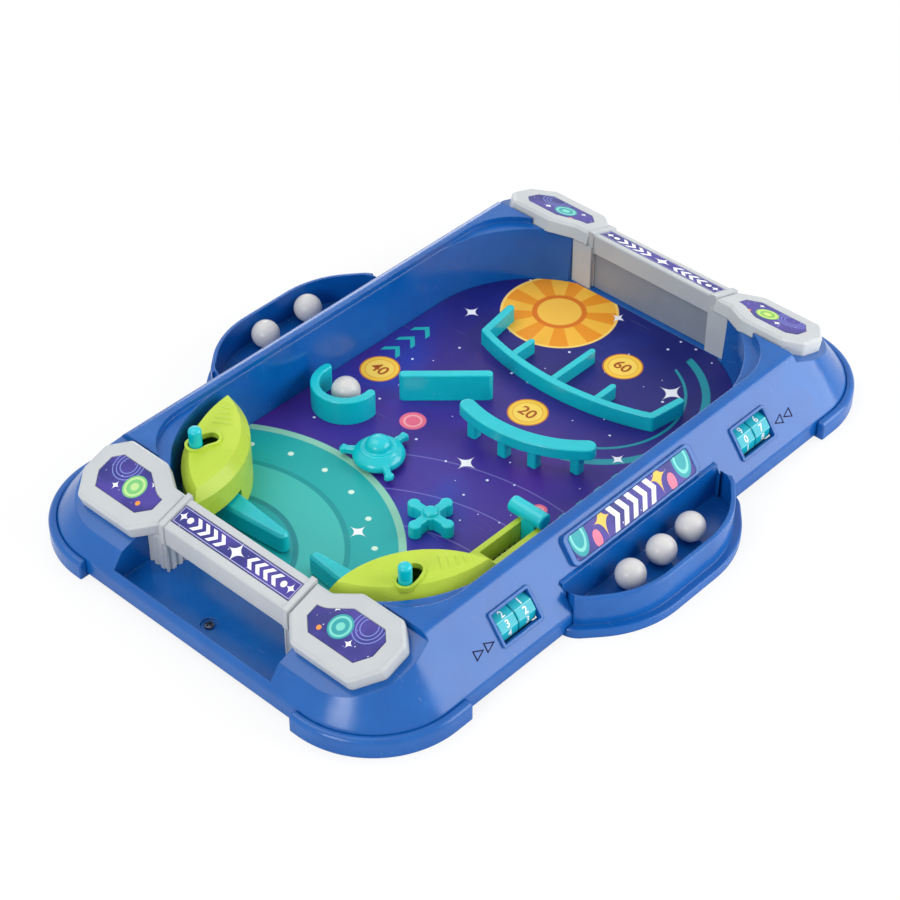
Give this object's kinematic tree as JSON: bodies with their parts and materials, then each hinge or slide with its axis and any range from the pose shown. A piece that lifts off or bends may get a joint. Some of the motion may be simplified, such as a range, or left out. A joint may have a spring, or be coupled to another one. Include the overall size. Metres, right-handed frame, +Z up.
{
  "type": "tabletop pinball game",
  "caption": "Tabletop pinball game: a moulded tray with tilted end arches, thumb-pin flippers, a spring launcher, spinning obstacles, number-drum scorers and side ball trays.",
  "frame": {"origin": "middle of the footprint on the table", "axes": "+X to the scorers' side, +Y to the far end, +Z up"},
  "size_m": [0.311, 0.401, 0.0505],
  "materials": {
    "blue_plastic": "glossy moulded blue",
    "lime_plastic": "glossy moulded lime",
    "teal_plastic": "glossy moulded teal",
    "drum_plastic": "glossy teal with white numbers",
    "grey_plastic": "satin silver grey",
    "printed_label": "printed film",
    "printed_board": "printed sheet",
    "ball_plastic": "glossy off-white",
    "steel": "plain wire and pins"
  },
  "bodies": {
    "game_body": {"base_tray": "blue_plastic", "bench_gate": "teal_plastic", "catch_cup": "teal_plastic", "deflector_wall": "teal_plastic", "drain_screws": "steel", "far_back_panel": "grey_plastic", "far_bar_label": "printed_label", "far_drum_axle": "steel", "far_goal_bar": "grey_plastic", "far_left_cap": "grey_plastic", "far_left_cap_label": "printed_label", "far_right_cap": "grey_plastic", "far_right_cap_label": "printed_label", "floor_screws": "steel", "guard_far_left": "blue_plastic", "guard_far_right": "blue_plastic", "guard_near_left": "blue_plastic", "guard_near_right": "blue_plastic", "launcher_spring": "steel", "left_ball_tray": "blue_plastic", "left_flipper_housing": "lime_plastic", "left_pivot_pin": "steel", "near_bar_label": "printed_label", "near_drum_axle": "steel", "near_goal_bar": "grey_plastic", "near_left_cap": "grey_plastic", "near_left_cap_label": "printed_label", "near_right_cap": "grey_plastic", "near_right_cap_label": "printed_label", "playfield_board": "printed_board", "pocket_rail": "teal_plastic", "right_ball_tray": "blue_plastic", "right_flipper_housing": "lime_plastic", "right_pivot_pin": "steel", "saucer_pin": "steel", "side_label": "printed_label", "star_pin": "steel"},
    "left_flipper": {"left_flipper": "teal_plastic"},
    "right_flipper": {"right_flipper": "teal_plastic"},
    "striker": {"launcher_striker": "teal_plastic"},
    "saucer": {"saucer_spinner": "teal_plastic"},
    "star": {"star_spinner": "teal_plastic"},
    "far_tens_wheel": {"far_tens_drum": "drum_plastic"},
    "far_units_wheel": {"far_units_drum": "drum_plastic"},
    "near_tens_wheel": {"near_tens_drum": "drum_plastic"},
    "near_units_wheel": {"near_units_drum": "drum_plastic"},
    "ball_in_cup_body": {"ball_in_cup": "ball_plastic"},
    "ball_left_far_body": {"ball_left_far": "ball_plastic"},
    "ball_left_near_body": {"ball_left_near": "ball_plastic"},
    "ball_right_far_body": {"ball_right_far": "ball_plastic"},
    "ball_right_middle_body": {"ball_right_middle": "ball_plastic"},
    "ball_right_near_body": {"ball_right_near": "ball_plastic"}
  },
  "joints": [
    {"name": "left_flip", "type": "hinge", "parent": "game_body", "child": "left_flipper", "pos_m": [-0.055, -0.121, 0.0125], "axis": [0, 0, 1], "range_deg": [-28, 0]},
    {"name": "right_flip", "type": "hinge", "parent": "game_body", "child": "right_flipper", "pos_m": [0.055, -0.121, 0.0125], "axis": [0, 0, 1], "range_deg": [0, 28]},
    {"name": "launch", "type": "slide", "parent": "game_body", "child": "striker", "axis": [0, 1, 0], "range_m": [-0.014, 0], "stiffness_N_per_m": 120, "springref_m": 0.004, "deforming": ["launcher_spring"]},
    {"name": "saucer_spin", "type": "hinge", "parent": "game_body", "child": "saucer", "pos_m": [-0.025, -0.039, 0.006], "axis": [0, 0, 1], "continuous": true},
    {"name": "star_spin", "type": "hinge", "parent": "game_body", "child": "star", "pos_m": [0.029, -0.057, 0.006], "axis": [0, 0, 1], "continuous": true},
    {"name": "far_tens_turn", "type": "hinge", "parent": "game_body", "child": "far_tens_wheel", "pos_m": [0.11077, 0.0857, 0.02012], "axis": [0, 1, 0], "continuous": true},
    {"name": "far_units_turn", "type": "hinge", "parent": "game_body", "child": "far_units_wheel", "pos_m": [0.11077, 0.0983, 0.02012], "axis": [0, 1, 0], "continuous": true},
    {"name": "near_tens_turn", "type": "hinge", "parent": "game_body", "child": "near_tens_wheel", "pos_m": [0.11077, -0.0983, 0.02012], "axis": [0, 1, 0], "continuous": true},
    {"name": "near_units_turn", "type": "hinge", "parent": "game_body", "child": "near_units_wheel", "pos_m": [0.11077, -0.0857, 0.02012], "axis": [0, 1, 0], "continuous": true},
    {"name": "ball_in_cup_lift", "type": "slide", "parent": "game_body", "child": "ball_in_cup_body", "axis": [0, 0, 1], "range_m": [0, 0.06]},
    {"name": "ball_left_far_lift", "type": "slide", "parent": "game_body", "child": "ball_left_far_body", "axis": [0, 0, 1], "range_m": [0, 0.06]},
    {"name": "ball_left_near_lift", "type": "slide", "parent": "game_body", "child": "ball_left_near_body", "axis": [0, 0, 1], "range_m": [0, 0.06]},
    {"name": "ball_right_far_lift", "type": "slide", "parent": "game_body", "child": "ball_right_far_body", "axis": [0, 0, 1], "range_m": [0, 0.06]},
    {"name": "ball_right_middle_lift", "type": "slide", "parent": "game_body", "child": "ball_right_middle_body", "axis": [0, 0, 1], "range_m": [0, 0.06]},
    {"name": "ball_right_near_lift", "type": "slide", "parent": "game_body", "child": "ball_right_near_body", "axis": [0, 0, 1], "range_m": [0, 0.06]}
  ]
}
